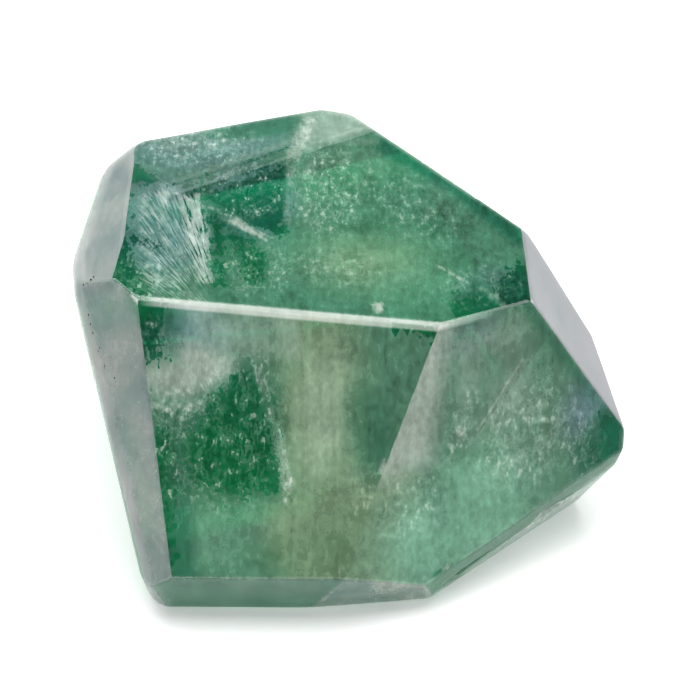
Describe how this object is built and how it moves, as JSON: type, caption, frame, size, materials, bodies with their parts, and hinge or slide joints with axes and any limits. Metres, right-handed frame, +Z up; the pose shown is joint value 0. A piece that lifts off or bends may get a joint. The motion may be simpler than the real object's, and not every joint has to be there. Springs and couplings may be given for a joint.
{
  "type": "polished fluorite free-form",
  "caption": "Polished free-form of clear green fluorite with flat ground facets, eased arrises and a flat base that it stands on.",
  "frame": {"origin": "middle of the bounding box's underside, on the surface that the stone stands on", "axes": "+Z up, out of the wide top facet; -Y towards the two big sloping front facets; +X towards the stone's pointed end"},
  "size_m": [0.0462, 0.045, 0.0251],
  "materials": {
    "fluorite": "clear green fluorite ground flat on a wheel and polished to a glassy surface"
  },
  "bodies": {
    "root": {"fluorite_stone": "fluorite"}
  },
  "joints": []
}
